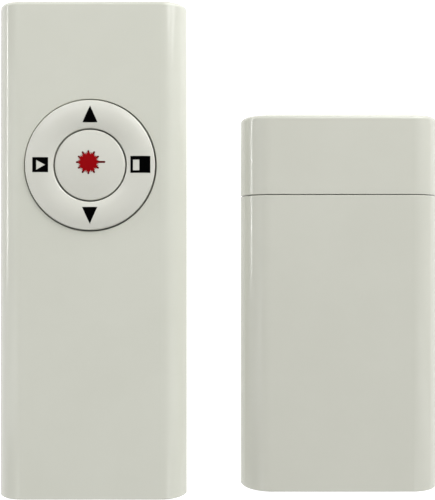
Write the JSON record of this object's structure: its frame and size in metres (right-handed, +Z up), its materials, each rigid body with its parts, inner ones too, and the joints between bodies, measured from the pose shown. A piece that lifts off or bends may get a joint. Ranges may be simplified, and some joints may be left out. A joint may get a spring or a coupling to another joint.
{
  "type": "wireless presentation clicker",
  "caption": "Card-like wireless presenter with a rocking key ring round a laser button, a slide-off battery door, and a USB receiver with a pull-off cap.",
  "frame": {"origin": "on the desk, under the middle of the pair of pieces as they lie side by side", "axes": "+Z up out of the faces, +Y the way the laser points and the USB plug stands out, +X from the handset to the receiver"},
  "size_m": [0.079, 0.0886, 0.01],
  "materials": {
    "ivory_plastic": "glossy moulded ABS",
    "dark_plastic": "moulded, matte",
    "clear_film": "polyester film",
    "contact_steel": "sprung strip",
    "cell_steel": "satin nickel plate",
    "circuit_board": "green solder mask",
    "chip_black": "moulded epoxy",
    "capacitor_tan": "fired ceramic with tinned ends",
    "track_gold": "gold flash",
    "laser_brass": "turned",
    "clear_lens": "polished acrylic",
    "screw_steel": "zinc plated",
    "plug_steel": "bright nickel plate"
  },
  "bodies": {
    "handset": {"front_cover": "ivory_plastic", "back_cover": "ivory_plastic", "battery_tray": "dark_plastic", "cell_lower": "cell_steel", "cell_upper": "cell_steel", "positive_contact": "contact_steel", "negative_contact": "contact_steel", "main_board": "circuit_board", "radio_chip": "chip_black", "board_crystal": "cell_steel", "board_capacitors": "capacitor_tan", "board_antenna": "track_gold", "dome_sheet": "clear_film", "dome_up": "contact_steel", "dome_down": "contact_steel", "dome_left": "contact_steel", "dome_right": "contact_steel", "dome_laser": "contact_steel", "laser_barrel": "laser_brass", "laser_lens": "clear_lens", "laser_diode": "track_gold", "laser_board": "circuit_board", "laser_leads": "track_gold", "laser_bezel": "dark_plastic", "laser_window": "clear_lens", "case_screws": "screw_steel"},
    "pivot_ring": {"pivot_ring": "dark_plastic"},
    "key_ring": {"key_ring": "ivory_plastic"},
    "laser_button": {"laser_button": "ivory_plastic"},
    "battery_door": {"battery_door": "ivory_plastic", "door_contact": "contact_steel"},
    "receiver": {"receiver_top_cover": "ivory_plastic", "receiver_bottom_cover": "ivory_plastic", "usb_shell": "plug_steel", "usb_tongue": "dark_plastic", "usb_contacts": "track_gold", "receiver_board": "circuit_board", "receiver_controller": "chip_black", "receiver_radio_chip": "chip_black", "receiver_crystal": "cell_steel", "receiver_capacitors": "capacitor_tan", "receiver_antenna": "track_gold", "receiver_screws": "screw_steel"},
    "receiver_cap": {"receiver_cap": "ivory_plastic"}
  },
  "joints": [
    {"name": "ring_rocks_left_right", "type": "hinge", "parent": "handset", "child": "pivot_ring", "pos_m": [-0.02252, 0.01505, 0.0054], "axis": [0, 1, 0], "range_deg": [-2, 2], "stiffness_Nm_per_rad": 0.5, "deforming": ["dome_left", "dome_right"]},
    {"name": "ring_rocks_up_down", "type": "hinge", "parent": "pivot_ring", "child": "key_ring", "pos_m": [-0.02252, 0.01505, 0.0054], "axis": [1, 0, 0], "range_deg": [-2, 2], "stiffness_Nm_per_rad": 0.5, "deforming": ["dome_up", "dome_down"]},
    {"name": "laser_button_presses", "type": "slide", "parent": "handset", "child": "laser_button", "axis": [0, 0, -1], "range_m": [0, 0.0003], "stiffness_N_per_m": 3000, "deforming": ["dome_laser"]},
    {"name": "battery_door_slides_off", "type": "slide", "parent": "handset", "child": "battery_door", "axis": [0, -1, 0], "range_m": [0, 0.05]},
    {"name": "receiver_moves_along_desk", "type": "slide", "parent": "handset", "child": "receiver", "axis": [1, 0, 0], "range_m": [0, 0.06]},
    {"name": "cap_pulls_off", "type": "slide", "parent": "receiver", "child": "receiver_cap", "axis": [0, 1, 0], "range_m": [0, 0.016]}
  ]
}
